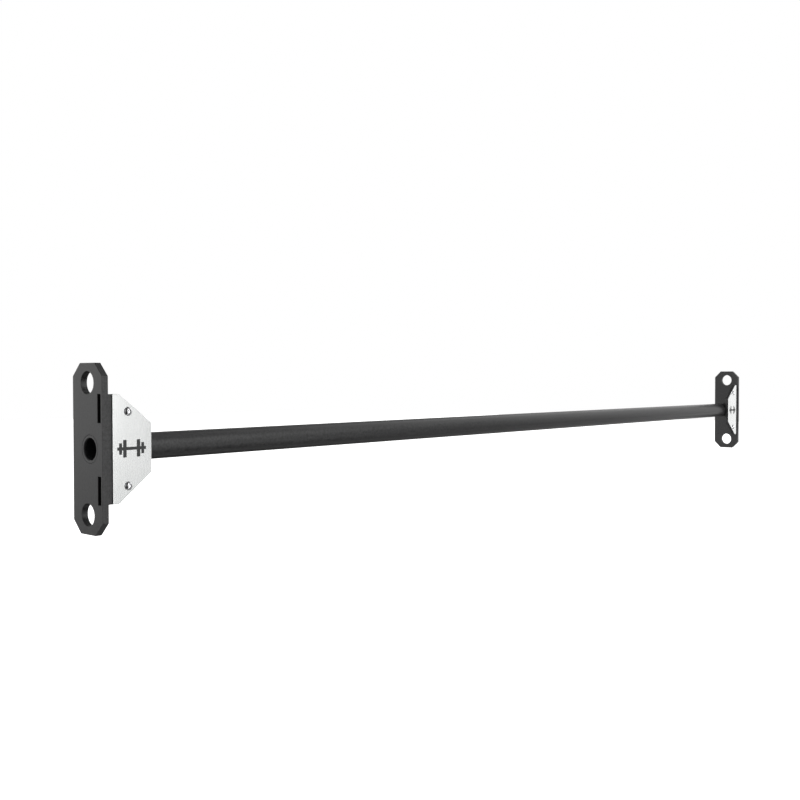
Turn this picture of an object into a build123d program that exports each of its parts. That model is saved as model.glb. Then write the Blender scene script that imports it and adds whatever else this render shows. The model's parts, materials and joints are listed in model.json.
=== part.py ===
from build123d import *
import math
import os

# Pull up bar: a round steel tube held between two bolt-on flange plates.
# Each end also has a gusset plate that keys into the flange and runs along the
# front of the tube, and a silver nameplate screwed to that gusset.
#
# Frame, in millimetres: X runs along the bar, Z is up, and -Y is the front,
# the side that shows the nameplates. The origin is half way between the outer
# faces of the two flanges, on the line through the middles of their bolt rows.
# Every end piece is drawn for the left end and mirrored to make the right one.

# Overall
SPAN = 1830.0                # outer face to outer face of the flanges, a six foot bar

# Flange plates
FLANGE_WIDTH = 60.0
FLANGE_HEIGHT = 195.0
FLANGE_THICKNESS = 8.0
FLANGE_CORNER = 15.0         # flat cut across each corner
BOLT_HOLE_RADIUS = 13.0
BOLT_HOLE_SPACING = 150.0
EDGE_BREAK = 0.6             # small bevel along the cut edges

# Bar tube, welded into the flange a little in front of its middle
TUBE_RADIUS = 16.0
TUBE_WALL = 3.5
TUBE_Y = -5.0
TUBE_FIT = 0.2               # radial gap in the flange hole
SEAM_BEVEL = 0.7             # bevel of the flange hole that shows as a thin seam

# Gusset plates, which touch the front of the tube
GUSSET_THICKNESS = 6.0
GUSSET_HEIGHT = 124.4        # tall edge, at the flange
GUSSET_TIP_HEIGHT = 57.6     # short edge, over the tube
GUSSET_SHOULDER = 22.5       # from the flange's outer face to where the slope starts
GUSSET_REACH = 65.5          # from the flange's outer face to the short edge
TAB_LENGTH = 32.0
TAB_DEPTH = 4.0              # how far a tab goes into the flange
SLOT_CLEARANCE = 0.15        # gap on each side of a tab

# Nameplates
NAMEPLATE_THICKNESS = 1.5
NAMEPLATE_SETBACK = 14.4     # from the flange's outer face to the plate's tall edge

# Engraved dumbbell sign on each nameplate
MARK_CENTRE = 39.0           # from the flange's outer face
MARK_DEPTH = 0.4             # engraving
MARK_FILL = 0.3              # paint in the engraving
HANDLE_LENGTH = 38.0
HANDLE_HEIGHT = 3.6
INNER_WEIGHT_OFFSET = 9.0
INNER_WEIGHT_WIDTH = 4.6
INNER_WEIGHT_HEIGHT = 20.0
OUTER_WEIGHT_OFFSET = 14.6
OUTER_WEIGHT_WIDTH = 3.8
OUTER_WEIGHT_HEIGHT = 13.0

# Button head screws, M6, threaded into the gussets
SCREW_RADIUS = 3.0
SCREW_LENGTH = 8.0
SCREW_TIP_BEVEL = 0.7
SCREW_HOLE_RADIUS = 3.3      # clearance hole in the nameplate
TAPPED_HOLE_RADIUS = 3.05    # threaded hole in the gusset, as a plain bore
SCREW_INSET = 34.3           # from the flange's outer face
SCREW_HEIGHT = 42.5          # above and below the bar
HEAD_RADIUS = 5.25
HEAD_HEIGHT = 3.3
HEAD_RIM = 0.6               # straight rim under the dome
HEAD_FLAT_RADIUS = 2.6       # flat ring round the socket
SOCKET_ACROSS_FLATS = 4.0
SOCKET_DEPTH = 2.1

# Weld beads
BAR_WELD_LEG = 5.0
BAR_WELD_STOP = 0.2          # the ring ends this far behind the gusset
GUSSET_WELD_LEG = 4.0
GUSSET_WELD_LENGTH = 28.0
BEAD_BULGE = 0.6             # how far a bead's curved face stands out, as a share of its leg
TUBE_WELD_LENGTH = 32.0
TUBE_WELD_START = 20.0       # from the flange's outer face
TUBE_WELD_NEAR = 6.0         # the groove bead's two edges, above and below the bar's axis
TUBE_WELD_FAR = 11.0

OUTER_FACE = -SPAN / 2
INNER_FACE = OUTER_FACE + FLANGE_THICKNESS
GUSSET_BACK = TUBE_Y - TUBE_RADIUS
GUSSET_FRONT = GUSSET_BACK - GUSSET_THICKNESS
NAMEPLATE_FRONT = GUSSET_FRONT - NAMEPLATE_THICKNESS
TAB_OUTER = GUSSET_HEIGHT / 2
TAB_INNER = TAB_OUTER - TAB_LENGTH
TAB_MIDDLE = (TAB_OUTER + TAB_INNER) / 2

UPPER = 1
LOWER = -1
SIDES = (UPPER, LOWER)


def box(x_from, x_to, y_from, y_to, z_from, z_to):
    """A box between two corners."""
    size = (abs(x_to - x_from), abs(y_to - y_from), abs(z_to - z_from))
    middle = ((x_from + x_to) / 2, (y_from + y_to) / 2, (z_from + z_to) / 2)
    return Pos(*middle) * Box(*size)


def rod_along_x(radius, x_from, x_to, y=0.0, z=0.0):
    """A round bar along X."""
    middle = ((x_from + x_to) / 2, y, z)
    return Pos(*middle) * Rot(0, 90, 0) * Cylinder(radius, x_to - x_from)


def rod_along_y(radius, y_from, y_to, x=0.0, z=0.0):
    """A round bar along Y."""
    middle = (x, (y_from + y_to) / 2, z)
    return Pos(*middle) * Rot(90, 0, 0) * Cylinder(radius, y_to - y_from)


def plate_xz(points, y_from, y_to):
    """A flat plate with a cornered outline in X and Z, between two Y values."""
    corners = [(x, y_from, z) for x, z in points]
    outline = make_face(Polyline(*corners, close=True))
    return extrude(outline, amount=y_to - y_from, dir=(0, 1, 0))


def plate_yz(points, x_from, x_to):
    """A flat plate with a cornered outline in Y and Z, between two X values."""
    corners = [(x_from, y, z) for y, z in points]
    outline = make_face(Polyline(*corners, close=True))
    return extrude(outline, amount=x_to - x_from, dir=(1, 0, 0))


def both_sides(half_outline):
    """The upper half of an outline, closed by its reflection below Z = 0."""
    return half_outline + [(x, -z) for x, z in reversed(half_outline)]


def bevel_cutter(radius_from, radius_to, x_mouth, x_deep, y, z):
    """A cone frustum along X, used to bevel the mouth of a hole."""
    mouth = Plane(origin=(x_mouth, y, z), z_dir=(1, 0, 0)) * Circle(radius_from)
    deep = Plane(origin=(x_deep, y, z), z_dir=(1, 0, 0)) * Circle(radius_to)
    return loft([mouth, deep])


def make_tube():
    """The bar itself, one open tube from outer face to outer face."""
    outside = rod_along_x(TUBE_RADIUS, OUTER_FACE, -OUTER_FACE, TUBE_Y)
    bore = rod_along_x(TUBE_RADIUS - TUBE_WALL, OUTER_FACE - 1, 1 - OUTER_FACE, TUBE_Y)
    tube = outside - bore
    end_edges = tube.edges().filter_by(GeomType.CIRCLE)
    return chamfer(end_edges, EDGE_BREAK / 2)


def make_flange():
    """End plate with cut corners, two bolt holes, the tube hole and two tab slots."""
    half_width = FLANGE_WIDTH / 2
    half_height = FLANGE_HEIGHT / 2
    upper_half = [
        (half_width, half_height - FLANGE_CORNER),
        (half_width - FLANGE_CORNER, half_height),
        (FLANGE_CORNER - half_width, half_height),
        (-half_width, half_height - FLANGE_CORNER),
    ]
    flange = plate_yz(both_sides(upper_half), OUTER_FACE, INNER_FACE)
    outer_rim = flange.faces().sort_by(Axis.X)[0].edges()
    inner_rim = flange.faces().sort_by(Axis.X)[-1].edges()
    flange = chamfer(outer_rim + inner_rim, EDGE_BREAK)

    for side in SIDES:
        hole_z = side * BOLT_HOLE_SPACING / 2
        flange -= rod_along_x(BOLT_HOLE_RADIUS, OUTER_FACE - 1, INNER_FACE + 1, 0, hole_z)
        wide = BOLT_HOLE_RADIUS + EDGE_BREAK
        flange -= bevel_cutter(
            wide, BOLT_HOLE_RADIUS, OUTER_FACE, OUTER_FACE + EDGE_BREAK, 0, hole_z)
        flange -= bevel_cutter(
            wide, BOLT_HOLE_RADIUS, INNER_FACE, INNER_FACE - EDGE_BREAK, 0, hole_z)

    tube_hole = TUBE_RADIUS + TUBE_FIT
    flange -= rod_along_x(tube_hole, OUTER_FACE - 1, INNER_FACE + 1, TUBE_Y)
    flange -= bevel_cutter(
        tube_hole + SEAM_BEVEL, tube_hole, OUTER_FACE, OUTER_FACE + SEAM_BEVEL, TUBE_Y, 0)

    for side in SIDES:
        flange -= box(
            OUTER_FACE - 1, INNER_FACE + 1,
            GUSSET_FRONT - SLOT_CLEARANCE, GUSSET_BACK + SLOT_CLEARANCE,
            side * (TAB_INNER - SLOT_CLEARANCE), side * (TAB_OUTER + SLOT_CLEARANCE))
    return flange


def make_gusset():
    """Five-sided plate on the front of the tube, with two tabs for the flange slots."""
    upper_half = [
        (INNER_FACE, TAB_OUTER),
        (OUTER_FACE + GUSSET_SHOULDER, TAB_OUTER),
        (OUTER_FACE + GUSSET_REACH, GUSSET_TIP_HEIGHT / 2),
    ]
    gusset = plate_xz(both_sides(upper_half), GUSSET_FRONT, GUSSET_BACK)
    for side in SIDES:
        gusset += box(
            INNER_FACE - TAB_DEPTH, INNER_FACE,
            GUSSET_FRONT, GUSSET_BACK,
            side * TAB_INNER, side * TAB_OUTER)
    for side in SIDES:
        gusset -= rod_along_y(
            TAPPED_HOLE_RADIUS, GUSSET_FRONT - 1, GUSSET_BACK + 1,
            OUTER_FACE + SCREW_INSET, side * SCREW_HEIGHT)
    return gusset


def mark_bars(y_from, y_to):
    """A plain dumbbell sign: a handle with two upright weights on each side."""
    centre = OUTER_FACE + MARK_CENTRE
    sign = box(
        centre - HANDLE_LENGTH / 2, centre + HANDLE_LENGTH / 2,
        y_from, y_to,
        -HANDLE_HEIGHT / 2, HANDLE_HEIGHT / 2)
    inner_weight = (INNER_WEIGHT_OFFSET, INNER_WEIGHT_WIDTH, INNER_WEIGHT_HEIGHT)
    outer_weight = (OUTER_WEIGHT_OFFSET, OUTER_WEIGHT_WIDTH, OUTER_WEIGHT_HEIGHT)
    for offset, width, height in (inner_weight, outer_weight):
        for side in SIDES:
            middle = centre + side * offset
            sign += box(
                middle - width / 2, middle + width / 2,
                y_from, y_to,
                -height / 2, height / 2)
    return sign


def make_nameplate():
    """Thin silver plate with the outline of the gusset, but clear of the flange."""
    upper_half = [
        (OUTER_FACE + NAMEPLATE_SETBACK, TAB_OUTER),
        (OUTER_FACE + GUSSET_SHOULDER, TAB_OUTER),
        (OUTER_FACE + GUSSET_REACH, GUSSET_TIP_HEIGHT / 2),
    ]
    plate = plate_xz(both_sides(upper_half), NAMEPLATE_FRONT, GUSSET_FRONT)
    front_rim = plate.faces().sort_by(Axis.Y)[0].edges()
    plate = chamfer(front_rim, EDGE_BREAK / 2)
    for side in SIDES:
        plate -= rod_along_y(
            SCREW_HOLE_RADIUS, NAMEPLATE_FRONT - 1, GUSSET_FRONT + 1,
            OUTER_FACE + SCREW_INSET, side * SCREW_HEIGHT)
    return plate - mark_bars(NAMEPLATE_FRONT - 1, NAMEPLATE_FRONT + MARK_DEPTH)


def make_mark_fill():
    """Dark paint lying in the engraved sign, just below the plate's face."""
    floor = NAMEPLATE_FRONT + MARK_DEPTH
    return mark_bars(floor - MARK_FILL, floor)


def make_screw(side):
    """Button head screw with a hexagon socket, through the nameplate into the gusset."""
    rim = (HEAD_RADIUS, HEAD_RIM)
    dome_middle = (HEAD_RADIUS * 0.78, HEAD_HEIGHT * 0.72)
    dome_top = (HEAD_FLAT_RADIUS, HEAD_HEIGHT)
    head_profile = make_face(
        Line((0, 0), (HEAD_RADIUS, 0))
        + Line((HEAD_RADIUS, 0), rim)
        + ThreePointArc(rim, dome_middle, dome_top)
        + Line(dome_top, (0, HEAD_HEIGHT))
        + Line((0, HEAD_HEIGHT), (0, 0)))
    head = revolve(Plane.XZ * head_profile, Axis.Z)
    hexagon = RegularPolygon(SOCKET_ACROSS_FLATS / 2, 6, major_radius=False)
    socket = extrude(Pos(0, 0, HEAD_HEIGHT - SOCKET_DEPTH) * hexagon, amount=SOCKET_DEPTH + 1)
    shank = Pos(0, 0, -SCREW_LENGTH / 2) * Cylinder(SCREW_RADIUS, SCREW_LENGTH)
    shank_end = shank.edges().sort_by(Axis.Z)[0]
    shank = chamfer(shank_end, SCREW_TIP_BEVEL)
    screw = head - socket + shank
    place = Pos(OUTER_FACE + SCREW_INSET, NAMEPLATE_FRONT, side * SCREW_HEIGHT)
    return place * Rot(90, 0, 0) * screw


def bead_profile(leg):
    """Section of a fillet weld in the corner at (0, 0), with a bulging face."""
    bulge = leg * BEAD_BULGE
    return make_face(
        Line((0, 0), (leg, 0))
        + ThreePointArc((leg, 0), (bulge, bulge), (0, leg))
        + Line((0, leg), (0, 0)))


def make_bar_weld():
    """Fillet weld round the tube on the flange's inner face, stopped by the gusset."""
    profile = Pos(0, TUBE_RADIUS) * bead_profile(BAR_WELD_LEG)
    bead = Pos(INNER_FACE, TUBE_Y, 0) * revolve(profile, Axis.X)
    beyond_bead = TUBE_RADIUS + 2 * BAR_WELD_LEG
    gusset_side = box(
        INNER_FACE - 1, INNER_FACE + beyond_bead,
        GUSSET_BACK - beyond_bead, GUSSET_BACK + BAR_WELD_STOP,
        -beyond_bead, beyond_bead)
    return bead - gusset_side


def make_gusset_weld(side):
    """Stitch weld in the corner between the gusset's back and the flange."""
    bead = extrude(bead_profile(GUSSET_WELD_LEG), amount=GUSSET_WELD_LENGTH / 2, both=True)
    return Pos(INNER_FACE, GUSSET_BACK, side * TAB_MIDDLE) * bead


def make_tube_weld(side):
    """Stitch weld in the groove between the gusset's back and the tube."""
    x_from = OUTER_FACE + TUBE_WELD_START
    x_to = x_from + TUBE_WELD_LENGTH
    tube_depth = TUBE_RADIUS - math.sqrt(TUBE_RADIUS**2 - TUBE_WELD_FAR**2)
    filled = box(
        x_from, x_to,
        GUSSET_BACK, GUSSET_BACK + tube_depth,
        side * TUBE_WELD_NEAR, side * TUBE_WELD_FAR)
    return filled - rod_along_x(TUBE_RADIUS, x_from - 1, x_to + 1, TUBE_Y)


def save(name, shape):
    """Write one node as a STEP file."""
    export_step(shape, f"parts/{name}.step")


def save_both_ends(name, shape):
    """Write the left piece and its mirror image at the right end."""
    save(f"left_{name}", shape)
    save(f"right_{name}", mirror(shape, about=Plane.YZ))


os.makedirs("parts", exist_ok=True)
save("bar_tube", make_tube())
save_both_ends("flange", make_flange())
save_both_ends("gusset", make_gusset())
save_both_ends("nameplate", make_nameplate())
save_both_ends("mark_fill", make_mark_fill())
save_both_ends("bar_weld", make_bar_weld())
for side_name, side in (("upper", UPPER), ("lower", LOWER)):
    save_both_ends(f"{side_name}_screw", make_screw(side))
    save_both_ends(f"{side_name}_gusset_weld", make_gusset_weld(side))
    save_both_ends(f"{side_name}_tube_weld", make_tube_weld(side))
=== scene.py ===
import json
import math
import random

import bmesh
import bpy
from mathutils import Matrix, Vector
from mathutils.geometry import tessellate_polygon


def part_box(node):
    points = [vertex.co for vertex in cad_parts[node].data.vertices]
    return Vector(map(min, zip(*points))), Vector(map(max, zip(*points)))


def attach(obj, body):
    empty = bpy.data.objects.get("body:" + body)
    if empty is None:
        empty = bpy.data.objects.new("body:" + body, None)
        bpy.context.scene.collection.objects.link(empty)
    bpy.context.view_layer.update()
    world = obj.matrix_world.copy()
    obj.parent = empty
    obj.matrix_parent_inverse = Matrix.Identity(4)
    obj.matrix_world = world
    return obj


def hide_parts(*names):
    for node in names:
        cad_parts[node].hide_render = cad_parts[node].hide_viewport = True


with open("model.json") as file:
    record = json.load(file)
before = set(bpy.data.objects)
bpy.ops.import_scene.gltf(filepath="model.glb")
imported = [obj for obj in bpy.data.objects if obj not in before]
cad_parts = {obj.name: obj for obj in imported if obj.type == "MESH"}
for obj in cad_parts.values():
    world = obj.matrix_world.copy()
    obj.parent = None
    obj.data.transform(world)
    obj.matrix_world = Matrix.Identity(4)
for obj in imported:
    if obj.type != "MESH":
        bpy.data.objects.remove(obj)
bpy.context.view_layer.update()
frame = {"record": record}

# The looks of a pull up bar: a coated steel tube between two flange plates, with
# a gusset, a silver nameplate and its screws at each end.
#
# Metres, in the frame's axes: X along the bar, Z up, -Y the front. One end is
# described by its distance d from the flange's outer face towards the middle, and
# by the frame's own y and z. Each end piece is made twice, once mirrored.

MM = 0.001
random.seed(7)

# Sizes read from the frame
tube_low, tube_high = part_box("bar_tube")
flange_low, flange_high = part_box("left_flange")
gusset_low, gusset_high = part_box("left_gusset")
plate_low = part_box("left_nameplate")[0]
fill_low, fill_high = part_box("left_mark_fill")
screw_low, screw_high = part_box("left_upper_screw")
bar_weld_low, bar_weld_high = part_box("left_bar_weld")
gusset_weld_low, gusset_weld_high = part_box("left_upper_gusset_weld")
tube_weld_low, tube_weld_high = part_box("left_upper_tube_weld")
bolt_holes = next(m for m in frame["record"]["mounts"] if m["name"] == "left_bolt_holes")

HALF_SPAN = tube_high.x
TUBE_RADIUS = (tube_high.z - tube_low.z) / 2
TUBE_Y = (tube_high.y + tube_low.y) / 2
FLANGE_WIDTH = flange_high.y - flange_low.y
FLANGE_HEIGHT = flange_high.z - flange_low.z
FLANGE_THICKNESS = flange_high.x - flange_low.x
BOLT_HOLE_RADIUS = bolt_holes["dims"]["hole_r_mm"] * MM
BOLT_HOLE_HEIGHT = bolt_holes["dims"]["spacing_y_mm"] * MM / 2
GUSSET_FRONT = gusset_low.y
GUSSET_BACK = gusset_high.y
GUSSET_HALF_HEIGHT = gusset_high.z
GUSSET_REACH = gusset_high.x + HALF_SPAN
TAB_START = gusset_low.x + HALF_SPAN
PLATE_FRONT = plate_low.y
PLATE_START = plate_low.x + HALF_SPAN
SCREW_D = (screw_high.x + screw_low.x) / 2 + HALF_SPAN
SCREW_Z = (screw_high.z + screw_low.z) / 2
HEAD_RADIUS = (screw_high.z - screw_low.z) / 2
HEAD_HEIGHT = PLATE_FRONT - screw_low.y
SCREW_END = screw_high.y
MARK_CENTRE = (fill_high.x + fill_low.x) / 2 + HALF_SPAN
BAR_WELD_LEG = bar_weld_high.x - bar_weld_low.x
GUSSET_WELD_LEG = gusset_weld_high.x - gusset_weld_low.x

# Sizes that the frame's boxes don't give
TUBE_WALL = 3.5 * MM
TUBE_HOLE_RADIUS = TUBE_RADIUS + 0.2 * MM
FLANGE_CORNER = 15 * MM
FLANGE_EDGE = 0.4 * MM
GUSSET_TIP_HALF_HEIGHT = 28.8 * MM
GUSSET_SHOULDER = 22.5 * MM
TAB_LENGTH = 32 * MM
SLOT_GAP = 0.15 * MM
SCREW_HOLE_RADIUS = 3.3 * MM
TAPPED_HOLE_RADIUS = 3.05 * MM
SHANK_RADIUS = 3 * MM
SOCKET_HALF_FLATS = 2 * MM
SOCKET_DEPTH = 2.1 * MM
THREAD_PITCH = 1 * MM
THREAD_DEPTH = 0.45 * MM
MARK_DEPTH = 0.4 * MM
MARK_GAP = 0.03 * MM
BEAD_PITCH = 2.6 * MM
BEAD_BULGE = 0.16            # how far a bead stands out, as a share of its leg
BAR_WELD_STOP = 1.2 * MM     # how far behind the gusset the ring of weld ends
GROOVE_WELD_BULGE = 0.5 * MM

# Roundings of the outlines' corners and of the plates' edges
FLANGE_ROUNDING = 1.2 * MM
SLOT_ROUNDING = 0.5 * MM
PLATE_ROUNDING = 0.8 * MM
MARK_ROUNDING = 0.4 * MM
GUSSET_EDGE = 0.4 * MM
NAMEPLATE_EDGE = 0.3 * MM
MARK_EDGE = 0.08 * MM

# Points round a tube, a bolt hole, a screw hole and a screw
TUBE_STEPS = 128
ROUND_STEPS = 96
SCREW_HOLE_STEPS = 48
SCREW_STEPS = 72


# ---------------------------------------------------------------- outlines


def arc(centre_u, centre_v, radius, start, stop, steps):
    """Points along an arc; angles in degrees."""
    points = []
    for i in range(steps + 1):
        angle = math.radians(start + (stop - start) * i / steps)
        u = centre_u + radius * math.cos(angle)
        v = centre_v + radius * math.sin(angle)
        points.append(Vector((u, v)))
    return points


def circle(centre_u, centre_v, radius, steps=ROUND_STEPS):
    """A closed circle, without its first point repeated."""
    return arc(centre_u, centre_v, radius, 0, 360, steps)[:-1]


def with_neighbours(loop):
    """Each point of a closed loop, between the one before and the one after it."""
    return zip(loop[-1:] + loop[:-1], loop, loop[1:] + loop[:1])


def rounded(corners, radius, steps=4):
    """A closed outline with each of its corners turned into a small arc."""
    corners = [Vector(c) for c in corners]
    points = []
    for before, corner, after in with_neighbours(corners):
        to_before = (before - corner).normalized()
        to_after = (after - corner).normalized()
        half_angle = to_before.angle(to_after) / 2
        centre = corner + (to_before + to_after).normalized() * radius / math.sin(half_angle)
        first = (corner + to_before * radius / math.tan(half_angle) - centre).normalized()
        last = (corner + to_after * radius / math.tan(half_angle) - centre).normalized()
        for i in range(steps + 1):
            points.append(centre + first.slerp(last, i / steps) * radius)
    return points


def both_halves(upper_half):
    """The upper half of an outline, closed by its reflection below v = 0."""
    return upper_half + [(u, -v) for u, v in reversed(upper_half)]


def flange_outline():
    half_width = FLANGE_WIDTH / 2
    half_height = FLANGE_HEIGHT / 2
    return rounded(both_halves([
        (half_width, half_height - FLANGE_CORNER),
        (half_width - FLANGE_CORNER, half_height),
        (FLANGE_CORNER - half_width, half_height),
        (-half_width, half_height - FLANGE_CORNER),
    ]), FLANGE_ROUNDING)


def slot_outline(side):
    low = side * (GUSSET_HALF_HEIGHT - TAB_LENGTH - SLOT_GAP)
    high = side * (GUSSET_HALF_HEIGHT + SLOT_GAP)
    front = GUSSET_FRONT - SLOT_GAP
    back = GUSSET_BACK + SLOT_GAP
    return rounded([(front, low), (back, low), (back, high), (front, high)], SLOT_ROUNDING)


def gusset_outline():
    tab_low = GUSSET_HALF_HEIGHT - TAB_LENGTH
    return rounded(both_halves([
        (FLANGE_THICKNESS, tab_low),
        (TAB_START, tab_low),
        (TAB_START, GUSSET_HALF_HEIGHT),
        (GUSSET_SHOULDER, GUSSET_HALF_HEIGHT),
        (GUSSET_REACH, GUSSET_TIP_HALF_HEIGHT),
    ]), PLATE_ROUNDING)


def nameplate_outline():
    return rounded(both_halves([
        (PLATE_START, GUSSET_HALF_HEIGHT),
        (GUSSET_SHOULDER, GUSSET_HALF_HEIGHT),
        (GUSSET_REACH, GUSSET_TIP_HALF_HEIGHT),
    ]), PLATE_ROUNDING)


def dumbbell_outline(gap=0.0):
    """A plain dumbbell sign: a handle with two upright weights on each side."""
    handle_end, handle_half = 19.0, 1.8
    inner_from, inner_to, inner_half = 6.7, 11.3, 10.0
    outer_from, outer_to, outer_half = 12.7, 16.5, 6.5
    right_upper = [
        (inner_from, handle_half),
        (inner_from, inner_half),
        (inner_to, inner_half),
        (inner_to, handle_half),
        (outer_from, handle_half),
        (outer_from, outer_half),
        (outer_to, outer_half),
        (outer_to, handle_half),
        (handle_end, handle_half),
    ]
    left_upper = [(-u, v) for u, v in reversed(right_upper)]
    steps = both_halves(left_upper + right_upper)
    outline = rounded([(MARK_CENTRE + u * MM, v * MM) for u, v in steps], MARK_ROUNDING, 3)
    return inset(oriented(outline, clockwise=False), gap)


def screw_holes(radius):
    return [circle(SCREW_D, side * SCREW_Z, radius, SCREW_HOLE_STEPS) for side in (1, -1)]


def oriented(loop, clockwise):
    """The loop in the asked direction."""
    area = sum(a.cross(b) for a, b in zip(loop, loop[1:] + loop[:1]))
    return loop if (area < 0) == clockwise else loop[::-1]


def inset(loop, distance):
    """The loop moved to its left by a distance."""
    moved = []
    for before, here, after in with_neighbours(loop):
        into = (here - before).normalized()
        out = (after - here).normalized()
        left_in = Vector((-into.y, into.x))
        left_out = Vector((-out.y, out.x))
        corner = (left_in + left_out).normalized()
        moved.append(here + corner * distance / max(corner.dot(left_in), 0.3))
    return moved


# ---------------------------------------------------------------- mesh building


def ring(bm, points):
    return [bm.verts.new(p) for p in points]


def bridge(bm, first, second):
    """Quads between two closed rings of the same length."""
    count = len(first)
    for i in range(count):
        j = (i + 1) % count
        bm.faces.new((first[i], first[j], second[j], second[i]))


def fan(bm, rim, centre):
    """Triangles from a closed ring to one point."""
    tip = bm.verts.new(centre)
    for i, corner in enumerate(rim):
        bm.faces.new((corner, rim[(i + 1) % len(rim)], tip))


def fill(bm, loops):
    """A flat face with holes: the first loop is its rim."""
    corners = [corner for loop in loops for corner in loop]
    for triangle in tessellate_polygon([[corner.co for corner in loop] for loop in loops]):
        bm.faces.new([corners[i] for i in triangle])


def plate_mesh(outline, holes, thickness, edge, pocket=None):
    """A plate in (u, v) whose depth runs from 0 at its front, with all its edges rounded.

    pocket is an outline and a depth: a flat-bottomed recess in the front face."""
    bm = bmesh.new()
    edge_steps = 4
    bends = [math.pi / 2 * i / edge_steps for i in range(edge_steps + 1)]
    profile = [(edge * (1 - math.sin(a)), edge * (1 - math.cos(a))) for a in bends]
    profile += [(inward, thickness - depth) for inward, depth in reversed(profile)]
    front, back = [], []
    loops = [oriented(outline, clockwise=False)]
    loops += [oriented(hole, clockwise=True) for hole in holes]
    for loop in loops:
        rings = [
            ring(bm, [(p.x, p.y, depth) for p in inset(loop, inward)])
            for inward, depth in profile
        ]
        for first, second in zip(rings, rings[1:]):
            bridge(bm, first, second)
        front.append(rings[0])
        back.append(rings[-1])
    if pocket:
        shape, depth = pocket
        loop = oriented(shape, clockwise=True)
        mouth = ring(bm, [(p.x, p.y, 0) for p in loop])
        floor = ring(bm, [(p.x, p.y, depth) for p in loop])
        bridge(bm, mouth, floor)
        fill(bm, [floor])
        front.append(mouth)
    fill(bm, front)
    fill(bm, back)
    return bm


def move_points(bm, rule):
    for point in bm.verts:
        point.co = rule(point.co)
    return bm


def turned(rows, steps):
    """A solid turned about the w axis. A row is (w, radius); radius may depend on the angle.

    The first and last rows are points on the axis if their radius is 0."""
    bm = bmesh.new()
    previous = None
    for w, radius in rows:
        if radius == 0:
            if previous is None:
                previous = w
            else:
                fan(bm, previous, (0, 0, w))
            continue
        points = []
        for i in range(steps):
            angle = 2 * math.pi * i / steps
            reach = radius(angle) if callable(radius) else radius
            points.append((reach * math.cos(angle), reach * math.sin(angle), w))
        here = ring(bm, points)
        if isinstance(previous, float):
            fan(bm, here, (0, 0, previous))
        elif previous:
            bridge(bm, previous, here)
        previous = here
    return bm


def hexagon(half_flats):
    """Radius of a hexagon at an angle; it has a corner at angle 0."""
    sixth = math.pi / 3

    def reach(angle):
        return half_flats / math.cos(angle % sixth - sixth / 2)

    return reach


def thread(root, depth, w):
    """Radius of a screw thread at an angle and a depth w."""

    def reach(angle):
        turn = (w / THREAD_PITCH + angle / (2 * math.pi)) % 1
        return root + depth * (1 - abs(2 * turn - 1))

    return reach


def bead_mesh(section, length):
    """A weld bead. section(s) gives its root, its two toes and its bulge at distance s.

    The bead is small where it starts and stops, rippled, and a little uneven."""
    bm = bmesh.new()
    across = 10
    rows_per_ripple = 8
    ripple_sweep = 0.55
    ripple_depth = 0.55
    ripple_reach = 0.03
    end_size = 0.35
    unevenness = 0.012
    rows = round(length / BEAD_PITCH * rows_per_ripple)
    end_length = 2.5 * MM
    wander = 0.0
    previous = None
    for i in range(rows + 1):
        along = length * i / rows
        root, toe_a, toe_b, bulge = section(along)
        to_end = min(along, length - along) / end_length
        size = end_size + (1 - end_size) * math.sqrt(1 - (1 - min(to_end, 1)) ** 2)
        wander = 0.9 * wander + random.uniform(-unevenness, unevenness)
        points = [root]
        for j in range(across + 1):
            share = j / across
            arch = math.sin(math.pi * share)
            ripple = abs(math.sin(math.pi * (along / BEAD_PITCH + ripple_sweep * arch)))
            fullness = 1 - ripple_depth + ripple_depth * ripple
            face = toe_a.lerp(toe_b, share) + bulge * arch * fullness
            reach = size * (1 - ripple_reach + wander) + ripple_reach * ripple
            points.append(root.lerp(face, reach))
        here = ring(bm, points)
        if previous:
            bridge(bm, previous, here)
        else:
            bm.faces.new(here)
        previous = here
    bm.faces.new(previous)
    return bm


def make_piece(name, bm, node, material, sharp_above=30):
    """A finished piece that stands for one node of the frame."""
    bmesh.ops.recalc_face_normals(bm, faces=bm.faces)
    mesh = bpy.data.meshes.new(name)
    bm.to_mesh(mesh)
    bm.free()
    mesh.materials.append(material)
    mesh.shade_smooth()
    mesh.set_sharp_from_angle(angle=math.radians(sharp_above))
    piece = bpy.data.objects.new(name, mesh)
    bpy.context.collection.objects.link(piece)
    flat_faces_first = piece.modifiers.new("flat faces stay flat", "WEIGHTED_NORMAL")
    flat_faces_first.keep_sharp = True
    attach(piece, "root")
    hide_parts(node)
    return piece


def make_at_both_ends(name, build, material, sharp_above=30):
    """The left piece, and its mirror image at the right end."""
    for end, sign in (("left", -1), ("right", 1)):
        bm = move_points(build(), lambda p: Vector((sign * (HALF_SPAN - p.x), p.y, p.z)))
        node = f"{end}_{name}"
        make_piece(f"{node}_look", bm, node, material, sharp_above)


# ---------------------------------------------------------------- the pieces


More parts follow.
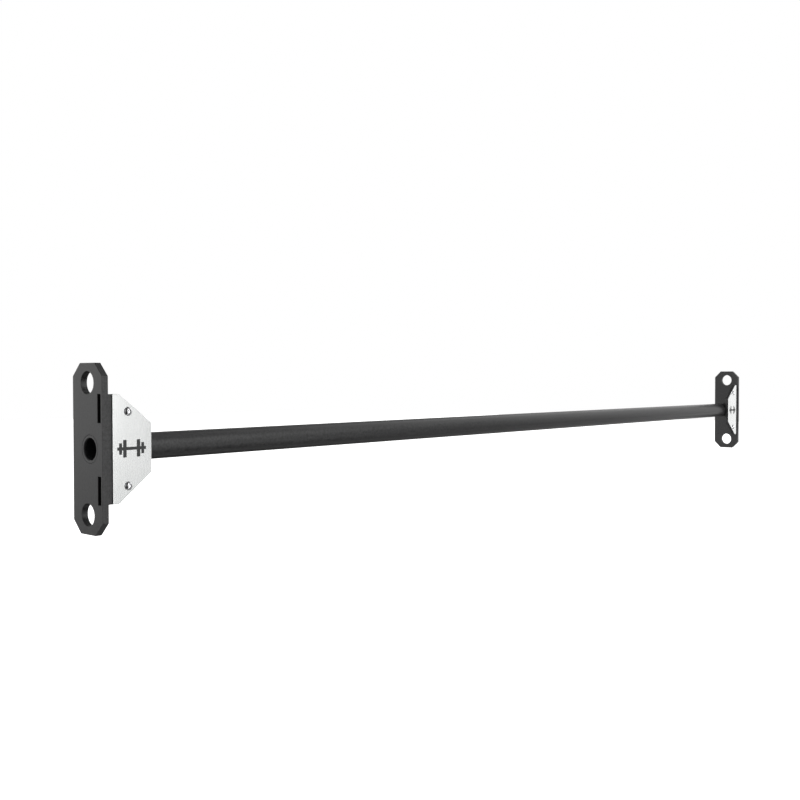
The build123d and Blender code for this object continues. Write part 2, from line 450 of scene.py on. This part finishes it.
def tube_mesh():
    """The open tube, with lightly bevelled ends and a wider bevel round its bore."""
    bevel = 0.2 * MM
    bore = TUBE_RADIUS - TUBE_WALL
    bore_bevel = 0.8 * MM
    stations = 40
    outside = [(-HALF_SPAN, TUBE_RADIUS - bevel), (bevel - HALF_SPAN, TUBE_RADIUS)]
    for i in range(1, stations):
        outside.append((HALF_SPAN * (2 * i / stations - 1), TUBE_RADIUS))
    outside += [(HALF_SPAN - bevel, TUBE_RADIUS), (HALF_SPAN, TUBE_RADIUS - bevel)]
    inside = [(HALF_SPAN, bore + bore_bevel), (HALF_SPAN - bore_bevel, bore)]
    inside += [(bore_bevel - HALF_SPAN, bore), (-HALF_SPAN, bore + bore_bevel)]
    bm = bmesh.new()
    rings = [
        ring(bm, [(x, p.x, p.y) for p in circle(TUBE_Y, 0, radius, TUBE_STEPS)])
        for x, radius in outside + inside
    ]
    for first, second in zip(rings, rings[1:] + rings[:1]):
        bridge(bm, first, second)
    return bm


def flange_mesh():
    holes = [circle(0, side * BOLT_HOLE_HEIGHT, BOLT_HOLE_RADIUS) for side in (1, -1)]
    holes += [circle(TUBE_Y, 0, TUBE_HOLE_RADIUS)]
    holes += [slot_outline(side) for side in (1, -1)]
    bm = plate_mesh(flange_outline(), holes, FLANGE_THICKNESS, FLANGE_EDGE)
    return move_points(bm, lambda p: Vector((p.z, p.x, p.y)))


def gusset_mesh():
    thickness = GUSSET_BACK - GUSSET_FRONT
    bm = plate_mesh(gusset_outline(), screw_holes(TAPPED_HOLE_RADIUS), thickness, GUSSET_EDGE)
    return move_points(bm, lambda p: Vector((p.x, GUSSET_FRONT + p.z, p.y)))


def nameplate_mesh():
    thickness = GUSSET_FRONT - PLATE_FRONT
    engraving = (dumbbell_outline(), MARK_DEPTH)
    bm = plate_mesh(
        nameplate_outline(), screw_holes(SCREW_HOLE_RADIUS), thickness, NAMEPLATE_EDGE, engraving)
    return move_points(bm, lambda p: Vector((p.x, PLATE_FRONT + p.z, p.y)))


def mark_fill_mesh():
    depth = fill_high.y - fill_low.y
    bm = plate_mesh(dumbbell_outline(MARK_GAP), [], depth, MARK_EDGE)
    return move_points(bm, lambda p: Vector((p.x, fill_low.y + p.z, p.y)))


def screw_mesh(side):
    """A button head screw; w runs from the head's seat, negative into the head."""
    drill_point = 0.35 * MM
    socket_taper = 0.98
    mouth_depth = 0.2 * MM
    mouth_radius = 2.35 * MM
    flat_radius = 2.5 * MM
    rim_height = 0.3 * MM
    seat_bevel = 0.2 * MM
    plain_shank = 0.5 * MM
    tip_length = 0.7 * MM
    tip_taper = 0.1 * MM
    rows = [
        (drill_point + SOCKET_DEPTH - HEAD_HEIGHT, 0),
        (SOCKET_DEPTH - HEAD_HEIGHT, hexagon(SOCKET_HALF_FLATS * socket_taper)),
        (mouth_depth - HEAD_HEIGHT, hexagon(SOCKET_HALF_FLATS)),
        (-HEAD_HEIGHT, mouth_radius),
    ]
    cap_height = HEAD_HEIGHT - rim_height
    ball_centre = (HEAD_RADIUS**2 - flat_radius**2 - cap_height**2) / (2 * cap_height)
    ball_radius = math.hypot(HEAD_RADIUS, ball_centre)
    cap_steps = 14
    for i in range(cap_steps + 1):
        radius = flat_radius + (HEAD_RADIUS - flat_radius) * i / cap_steps
        rows.append((ball_centre - rim_height - math.sqrt(ball_radius**2 - radius**2), radius))
    rows += [
        (-seat_bevel, HEAD_RADIUS),
        (0.0, HEAD_RADIUS - seat_bevel),
        (0.0, SHANK_RADIUS),
    ]
    root = SHANK_RADIUS - THREAD_DEPTH
    length = SCREW_END - PLATE_FRONT
    thread_from = GUSSET_FRONT - PLATE_FRONT
    thread_to = length - tip_length
    cuts_per_turn = 8
    cuts = round((thread_to - thread_from) / THREAD_PITCH * cuts_per_turn)
    rows.append((thread_from - plain_shank, SHANK_RADIUS))
    for i in range(cuts + 1):
        w = thread_from + (thread_to - thread_from) * i / cuts
        rows.append((w, thread(root, THREAD_DEPTH, w)))
    rows += [(length, root - tip_taper), (length, 0)]
    bm = turned(rows, SCREW_STEPS)
    height = side * SCREW_Z
    return move_points(bm, lambda p: Vector((SCREW_D + p.x, PLATE_FRONT + p.z, height + p.y)))


def bar_weld_mesh():
    """The bead round the tube, open where the gusset touches the tube."""
    opening = math.acos((TUBE_Y - GUSSET_BACK - BAR_WELD_STOP) / (TUBE_RADIUS + BAR_WELD_LEG))
    sweep = 2 * (math.pi - opening)

    def section(along):
        angle = math.pi + opening + along / TUBE_RADIUS
        outward = Vector((0, math.cos(angle), math.sin(angle)))
        root = Vector((FLANGE_THICKNESS, TUBE_Y, 0)) + outward * TUBE_RADIUS
        toe_a = root + Vector((BAR_WELD_LEG, 0, 0))
        toe_b = root + outward * BAR_WELD_LEG
        bulge = (Vector((1, 0, 0)) + outward).normalized() * BAR_WELD_LEG * BEAD_BULGE
        return root, toe_a, toe_b, bulge

    return bead_mesh(section, sweep * TUBE_RADIUS)


def gusset_weld_mesh(side):
    """The stitch behind the gusset, in its corner with the flange."""
    low, high = gusset_weld_low.z, gusset_weld_high.z

    def section(along):
        root = Vector((FLANGE_THICKNESS, GUSSET_BACK, side * (low + along)))
        toe_a = root + Vector((GUSSET_WELD_LEG, 0, 0))
        toe_b = root + Vector((0, GUSSET_WELD_LEG, 0))
        bulge = Vector((1, 1, 0)).normalized() * GUSSET_WELD_LEG * BEAD_BULGE
        return root, toe_a, toe_b, bulge

    return bead_mesh(section, high - low)


def tube_weld_mesh(side):
    """The stitch in the groove between the tube and the gusset's back."""
    start = tube_weld_low.x + HALF_SPAN
    near, far = tube_weld_low.z, tube_weld_high.z

    def tube_surface(z):
        return TUBE_Y - math.sqrt(TUBE_RADIUS**2 - z**2)

    def section(along):
        d = start + along
        root = Vector((d, (GUSSET_BACK + tube_surface(near)) / 2, side * near))
        toe_a = Vector((d, GUSSET_BACK, side * far))
        toe_b = Vector((d, tube_surface(far), side * far))
        bulge = Vector((0, 0, side * GROOVE_WELD_BULGE))
        return root, toe_a, toe_b, bulge

    return bead_mesh(section, tube_weld_high.x - tube_weld_low.x)


# ---------------------------------------------------------------- materials


class Nodes:
    """A material's node tree, with short ways to add and join nodes."""

    def __init__(self, name):
        self.material = bpy.data.materials.new(name)
        self.material.use_nodes = True
        self.tree = self.material.node_tree
        self.shader = self.tree.nodes["Principled BSDF"]
        self.place = self.add("ShaderNodeTexCoord").outputs["Object"]

    def add(self, kind, **settings):
        node = self.tree.nodes.new(kind)
        for name, value in settings.items():
            setattr(node, name, value)
        return node

    def join(self, source, target):
        self.tree.links.new(source, target)

    def stretched(self, scale):
        """The object's coordinates, scaled along each axis."""
        mapping = self.add("ShaderNodeMapping")
        mapping.inputs["Scale"].default_value = scale
        self.join(self.place, mapping.inputs["Vector"])
        return mapping.outputs["Vector"]

    def noise(self, scale, detail=2.0, roughness=0.5, place=None):
        node = self.add("ShaderNodeTexNoise")
        node.inputs["Scale"].default_value = scale
        node.inputs["Detail"].default_value = detail
        node.inputs["Roughness"].default_value = roughness
        self.join(place or self.place, node.inputs["Vector"])
        return node.outputs["Fac"]

    def spread(self, value, low, high, from_low=0.3, from_high=0.7):
        """A value mapped to a range."""
        node = self.add("ShaderNodeMapRange")
        node.inputs["From Min"].default_value = from_low
        node.inputs["From Max"].default_value = from_high
        node.inputs["To Min"].default_value = low
        node.inputs["To Max"].default_value = high
        self.join(value, node.inputs["Value"])
        return node.outputs["Result"]

    def blend(self, amount, first, second):
        """A colour between two; each is a colour or another node's colour."""
        node = self.add("ShaderNodeMix", data_type="RGBA")
        self.join(amount, node.inputs["Factor"])
        for socket, colour in ((node.inputs["A"], first), (node.inputs["B"], second)):
            if isinstance(colour, tuple):
                socket.default_value = (*colour, 1)
            else:
                self.join(colour, socket)
        return node.outputs["Result"]

    def between(self, amount, first, second):
        """A number between two; each is a number or another node's value."""
        node = self.add("ShaderNodeMix")
        self.join(amount, node.inputs["Factor"])
        for socket, value in ((node.inputs["A"], first), (node.inputs["B"], second)):
            if isinstance(value, float):
                socket.default_value = value
            else:
                self.join(value, socket)
        return node.outputs["Result"]

    def bump(self, height, distance, strength, under=None):
        node = self.add("ShaderNodeBump")
        node.inputs["Distance"].default_value = distance
        node.inputs["Strength"].default_value = strength
        self.join(height, node.inputs["Height"])
        if under:
            self.join(under, node.inputs["Normal"])
        return node.outputs["Normal"]

    def edges(self, low=0.52, high=0.60):
        """1 on outer edges and 0 on flat faces."""
        pointiness = self.add("ShaderNodeNewGeometry").outputs["Pointiness"]
        return self.spread(pointiness, 0, 1, low, high)

    def sides(self):
        """1 on a plate's cut sides and 0 on its front and back, which face along Y."""
        normal = self.add("ShaderNodeSeparateXYZ")
        self.join(self.add("ShaderNodeTexCoord").outputs["Normal"], normal.inputs["Vector"])
        facing = self.add("ShaderNodeMath", operation="ABSOLUTE")
        self.join(normal.outputs["Y"], facing.inputs["Value"])
        return self.spread(facing.outputs["Value"], 1, 0, 0.4, 0.8)

    def colour(self, source):
        self.join(source, self.shader.inputs["Base Color"])

    def roughness(self, source):
        self.join(source, self.shader.inputs["Roughness"])

    def normal(self, source):
        self.join(source, self.shader.inputs["Normal"])


def powder_coat():
    """Black powder coat with a fine pebbled texture."""
    nodes = Nodes("powder coat")
    clouds = nodes.noise(9, 3)
    speckle = nodes.noise(900, 2, 0.6)
    mottle = nodes.noise(330, 4, 0.6)
    base = nodes.blend(nodes.spread(mottle, 0, 1), (0.013, 0.013, 0.0135), (0.047, 0.047, 0.0475))
    cloudy = nodes.blend(nodes.spread(clouds, 0, 0.25), base, (0.030, 0.030, 0.0305))
    nodes.colour(nodes.blend(nodes.edges(), cloudy, (0.050, 0.050, 0.051)))
    nodes.roughness(nodes.spread(mottle, 0.28, 0.44))
    low_waves = nodes.bump(mottle, 0.20 * MM, 0.30)
    nodes.normal(nodes.bump(speckle, 0.10 * MM, 0.35, low_waves))
    return nodes.material


def satin_aluminium():
    """Silver plate with a fine grain up and down, and rough cut sides whose dark colour is partly
    the cut metal's own and partly painted shade.
    """
    nodes = Nodes("satin aluminium")
    nodes.shader.inputs["Metallic"].default_value = 1.0
    grain = nodes.noise(1, 3, 0.6, nodes.stretched((2600, 2600, 60)))
    clouds = nodes.noise(40, 2)
    base = nodes.blend(nodes.spread(clouds, 0, 1), (0.90, 0.915, 0.905), (0.94, 0.95, 0.945))
    cut_sides_and_shade = nodes.sides()
    # Painted shade: the cut sides are made dark partly as bare cut metal and partly to stand for
    # the shadow in the narrow gap beside the flange.
    nodes.colour(nodes.blend(cut_sides_and_shade, base, (0.14, 0.14, 0.145)))
    nodes.roughness(nodes.between(cut_sides_and_shade, nodes.spread(grain, 0.20, 0.30), 0.55))
    nodes.normal(nodes.bump(grain, 0.01 * MM, 0.12))
    return nodes.material


def mark_paint():
    """Dark matt enamel lying in the engraving."""
    nodes = Nodes("mark paint")
    grain = nodes.noise(1500, 2)
    tone = nodes.blend(nodes.spread(grain, 0, 1), (0.020, 0.022, 0.022), (0.034, 0.036, 0.036))
    nodes.colour(tone)
    nodes.roughness(nodes.spread(grain, 0.42, 0.55))
    nodes.normal(nodes.bump(grain, 0.05 * MM, 0.3))
    return nodes.material


def polished_steel():
    """Bright screw heads with light hairline marks."""
    nodes = Nodes("polished steel")
    nodes.shader.inputs["Metallic"].default_value = 1.0
    smudges = nodes.noise(300, 3)
    hairlines = nodes.noise(1, 2, 0.5, nodes.stretched((4000, 4000, 300)))
    nodes.colour(nodes.blend(nodes.spread(smudges, 0, 1), (0.80, 0.80, 0.81), (0.88, 0.88, 0.89)))
    nodes.roughness(nodes.spread(smudges, 0.08, 0.16))
    nodes.normal(nodes.bump(hairlines, 0.01 * MM, 0.2))
    return nodes.material


# ---------------------------------------------------------------- build the object

coat = powder_coat()
silver = satin_aluminium()
paint = mark_paint()
steel = polished_steel()

make_piece("bar_tube_look", tube_mesh(), "bar_tube", coat)
make_at_both_ends("flange", flange_mesh, coat)
make_at_both_ends("gusset", gusset_mesh, coat)
make_at_both_ends("nameplate", nameplate_mesh, silver)
make_at_both_ends("mark_fill", mark_fill_mesh, paint)
make_at_both_ends("bar_weld", bar_weld_mesh, coat, sharp_above=50)
for level, side in (("upper", 1), ("lower", -1)):
    make_at_both_ends(f"{level}_screw", lambda: screw_mesh(side), steel)
    for weld, build in (("gusset_weld", gusset_weld_mesh), ("tube_weld", tube_weld_mesh)):
        make_at_both_ends(
            f"{level}_{weld}", lambda: build(side), coat, sharp_above=50)


# ---------------------------------------------------------------- floor, light and camera

# Brightness of the studio by the height of a direction, from straight down (-1) to
# straight up (1), and by its heading in degrees from +X. The brightest wall is the
# one in front of the bar, a dimmer one stands behind it, and the room behind the
# camera is dark.
HEIGHT_LEVELS = (
    (-1, 0.30), (-0.55, 0.15), (-0.38, 0.60), (-0.2, 0.22), (-0.05, 1.0),
    (0.1, 0.98), (0.3, 0.90), (0.5, 0.86), (0.75, 0.38), (1, 0.04))
HEADING_LEVELS = (
    (-180, 0.15), (-150, 0.02), (-120, 0.02), (-105, 0.03), (-92, 0.97), (-80, 1.0),
    (-62, 0.31), (-48, 0.01), (-35, 0.01), (-20, 0.31), (0, 0.24), (15, 0.38),
    (30, 0.06), (60, 0.10), (70, 0.50), (88, 0.50), (100, 0.20), (120, 0.29),
    (150, 0.36), (168, 0.21), (180, 0.15))
STUDIO_STRENGTH = 4.5

# Softboxes with narrow beams: name, place, the point it is aimed at, size, power in
# watts and beam in degrees. The first two light the left end, the others the right.
SOFTBOXES = (
    ("high softbox", (0.15, -0.98, 0.70), (-0.75, 0, 0), 0.8, 0.27, 70),
    ("low softbox", (0.06, -0.85, -0.39), (-0.75, 0, 0), 0.6, 0.06, 60),
    ("far softbox", (0.35, -0.45, -0.75), (0.85, 0, 0), 0.5, 0.35, 50),
    ("end softbox", (1.60, -0.35, -0.28), (0.75, 0, 0), 0.3, 0.010, 40))


def make_floor():
    """A wide white floor, as far below the bar as a gym's floor is."""
    drop = 2.7
    reach = 60.0
    bm = bmesh.new()
    corners = [(-reach, -reach), (reach, -reach), (reach, reach), (-reach, reach)]
    bm.faces.new([bm.verts.new((x, y, -drop)) for x, y in corners])
    mesh = bpy.data.meshes.new("floor")
    bm.to_mesh(mesh)
    bm.free()
    nodes = Nodes("white floor")
    nodes.shader.inputs["Base Color"].default_value = (0.9, 0.9, 0.9, 1)
    nodes.shader.inputs["Roughness"].default_value = 0.8
    nodes.shader.inputs["Emission Color"].default_value = (1, 1, 1, 1)
    nodes.shader.inputs["Emission Strength"].default_value = 1.0
    mesh.materials.append(nodes.material)
    floor = bpy.data.objects.new("floor", mesh)
    bpy.context.collection.objects.link(floor)
    floor.visible_diffuse = False
    floor.visible_glossy = False


def make_studio():
    """The world is plain white to the camera, and a studio of soft lights to the object."""
    world = bpy.data.worlds.new("studio")
    bpy.context.scene.world = world
    world.use_nodes = True
    tree = world.node_tree
    tree.nodes.clear()
    direction = tree.nodes.new("ShaderNodeTexCoord").outputs["Generated"]

    def levels(source, stops, start, stop):
        """Brightness along a source, through stops of a place and a level."""
        ramp = tree.nodes.new("ShaderNodeValToRGB")
        for _ in range(len(stops) - len(ramp.color_ramp.elements)):
            ramp.color_ramp.elements.new(0.5)
        for element, (at, level) in zip(ramp.color_ramp.elements, stops):
            element.position = (at - start) / (stop - start)
            element.color = (level, level, level, 1)
        tree.links.new(source, ramp.inputs["Fac"])
        return ramp.outputs["Color"]

    split = tree.nodes.new("ShaderNodeSeparateXYZ")
    tree.links.new(direction, split.inputs["Vector"])
    height = tree.nodes.new("ShaderNodeMapRange")
    height.inputs["From Min"].default_value = -1
    tree.links.new(split.outputs["Z"], height.inputs["Value"])
    heading = tree.nodes.new("ShaderNodeTexGradient")
    heading.gradient_type = "RADIAL"
    tree.links.new(direction, heading.inputs["Vector"])
    by_height = levels(height.outputs["Result"], HEIGHT_LEVELS, -1, 1)
    by_heading = levels(heading.outputs["Fac"], HEADING_LEVELS, -180, 180)
    walls = tree.nodes.new("ShaderNodeVectorMath")
    walls.operation = "MULTIPLY"
    tree.links.new(by_height, walls.inputs[0])
    tree.links.new(by_heading, walls.inputs[1])
    lit = tree.nodes.new("ShaderNodeBackground")
    lit.inputs["Strength"].default_value = STUDIO_STRENGTH
    tree.links.new(walls.outputs["Vector"], lit.inputs["Color"])
    seen = tree.nodes.new("ShaderNodeBackground")
    seen.inputs["Color"].default_value = (1, 1, 1, 1)
    choose = tree.nodes.new("ShaderNodeMixShader")
    rays = tree.nodes.new("ShaderNodeLightPath")
    tree.links.new(rays.outputs["Is Camera Ray"], choose.inputs["Fac"])
    tree.links.new(lit.outputs["Background"], choose.inputs[1])
    tree.links.new(seen.outputs["Background"], choose.inputs[2])
    output = tree.nodes.new("ShaderNodeOutputWorld")
    tree.links.new(choose.outputs["Shader"], output.inputs["Surface"])


def make_softbox(name, place, aim, size, power, beam):
    """A softbox with a narrow beam, which lights one end of the bar."""
    data = bpy.data.lights.new(name, "AREA")
    data.size = size
    data.energy = power
    data.spread = math.radians(beam)
    softbox = bpy.data.objects.new(name, data)
    bpy.context.collection.objects.link(softbox)
    softbox.location = place
    softbox.rotation_euler = (Vector(aim) - Vector(place)).to_track_quat("-Z", "Y").to_euler()


def make_camera():
    """The camera stands in front of the left end and looks along the bar."""
    place = Vector((-1.5073, -0.9781, 0.0792))
    heading = math.radians(40.787)
    tilt = math.radians(1.263)
    roll = math.radians(-0.041)
    ahead = Vector((
        math.cos(tilt) * math.cos(heading),
        math.cos(tilt) * math.sin(heading),
        -math.sin(tilt)))
    level_right = Vector((math.sin(heading), -math.cos(heading), 0))
    level_up = level_right.cross(ahead)
    right = level_right * math.cos(roll) + level_up * math.sin(roll)
    up = level_up * math.cos(roll) - level_right * math.sin(roll)
    data = bpy.data.cameras.new("camera")
    data.sensor_width = 36
    data.lens = 43.306
    data.clip_end = 200
    camera = bpy.data.objects.new("camera", data)
    bpy.context.collection.objects.link(camera)
    turn = Matrix((right, up, -ahead)).transposed()
    camera.matrix_world = Matrix.Translation(place) @ turn.to_4x4()
    bpy.context.scene.camera = camera


make_floor()
make_studio()
for softbox in SOFTBOXES:
    make_softbox(*softbox)
make_camera()
bpy.context.scene.view_settings.view_transform = "Standard"
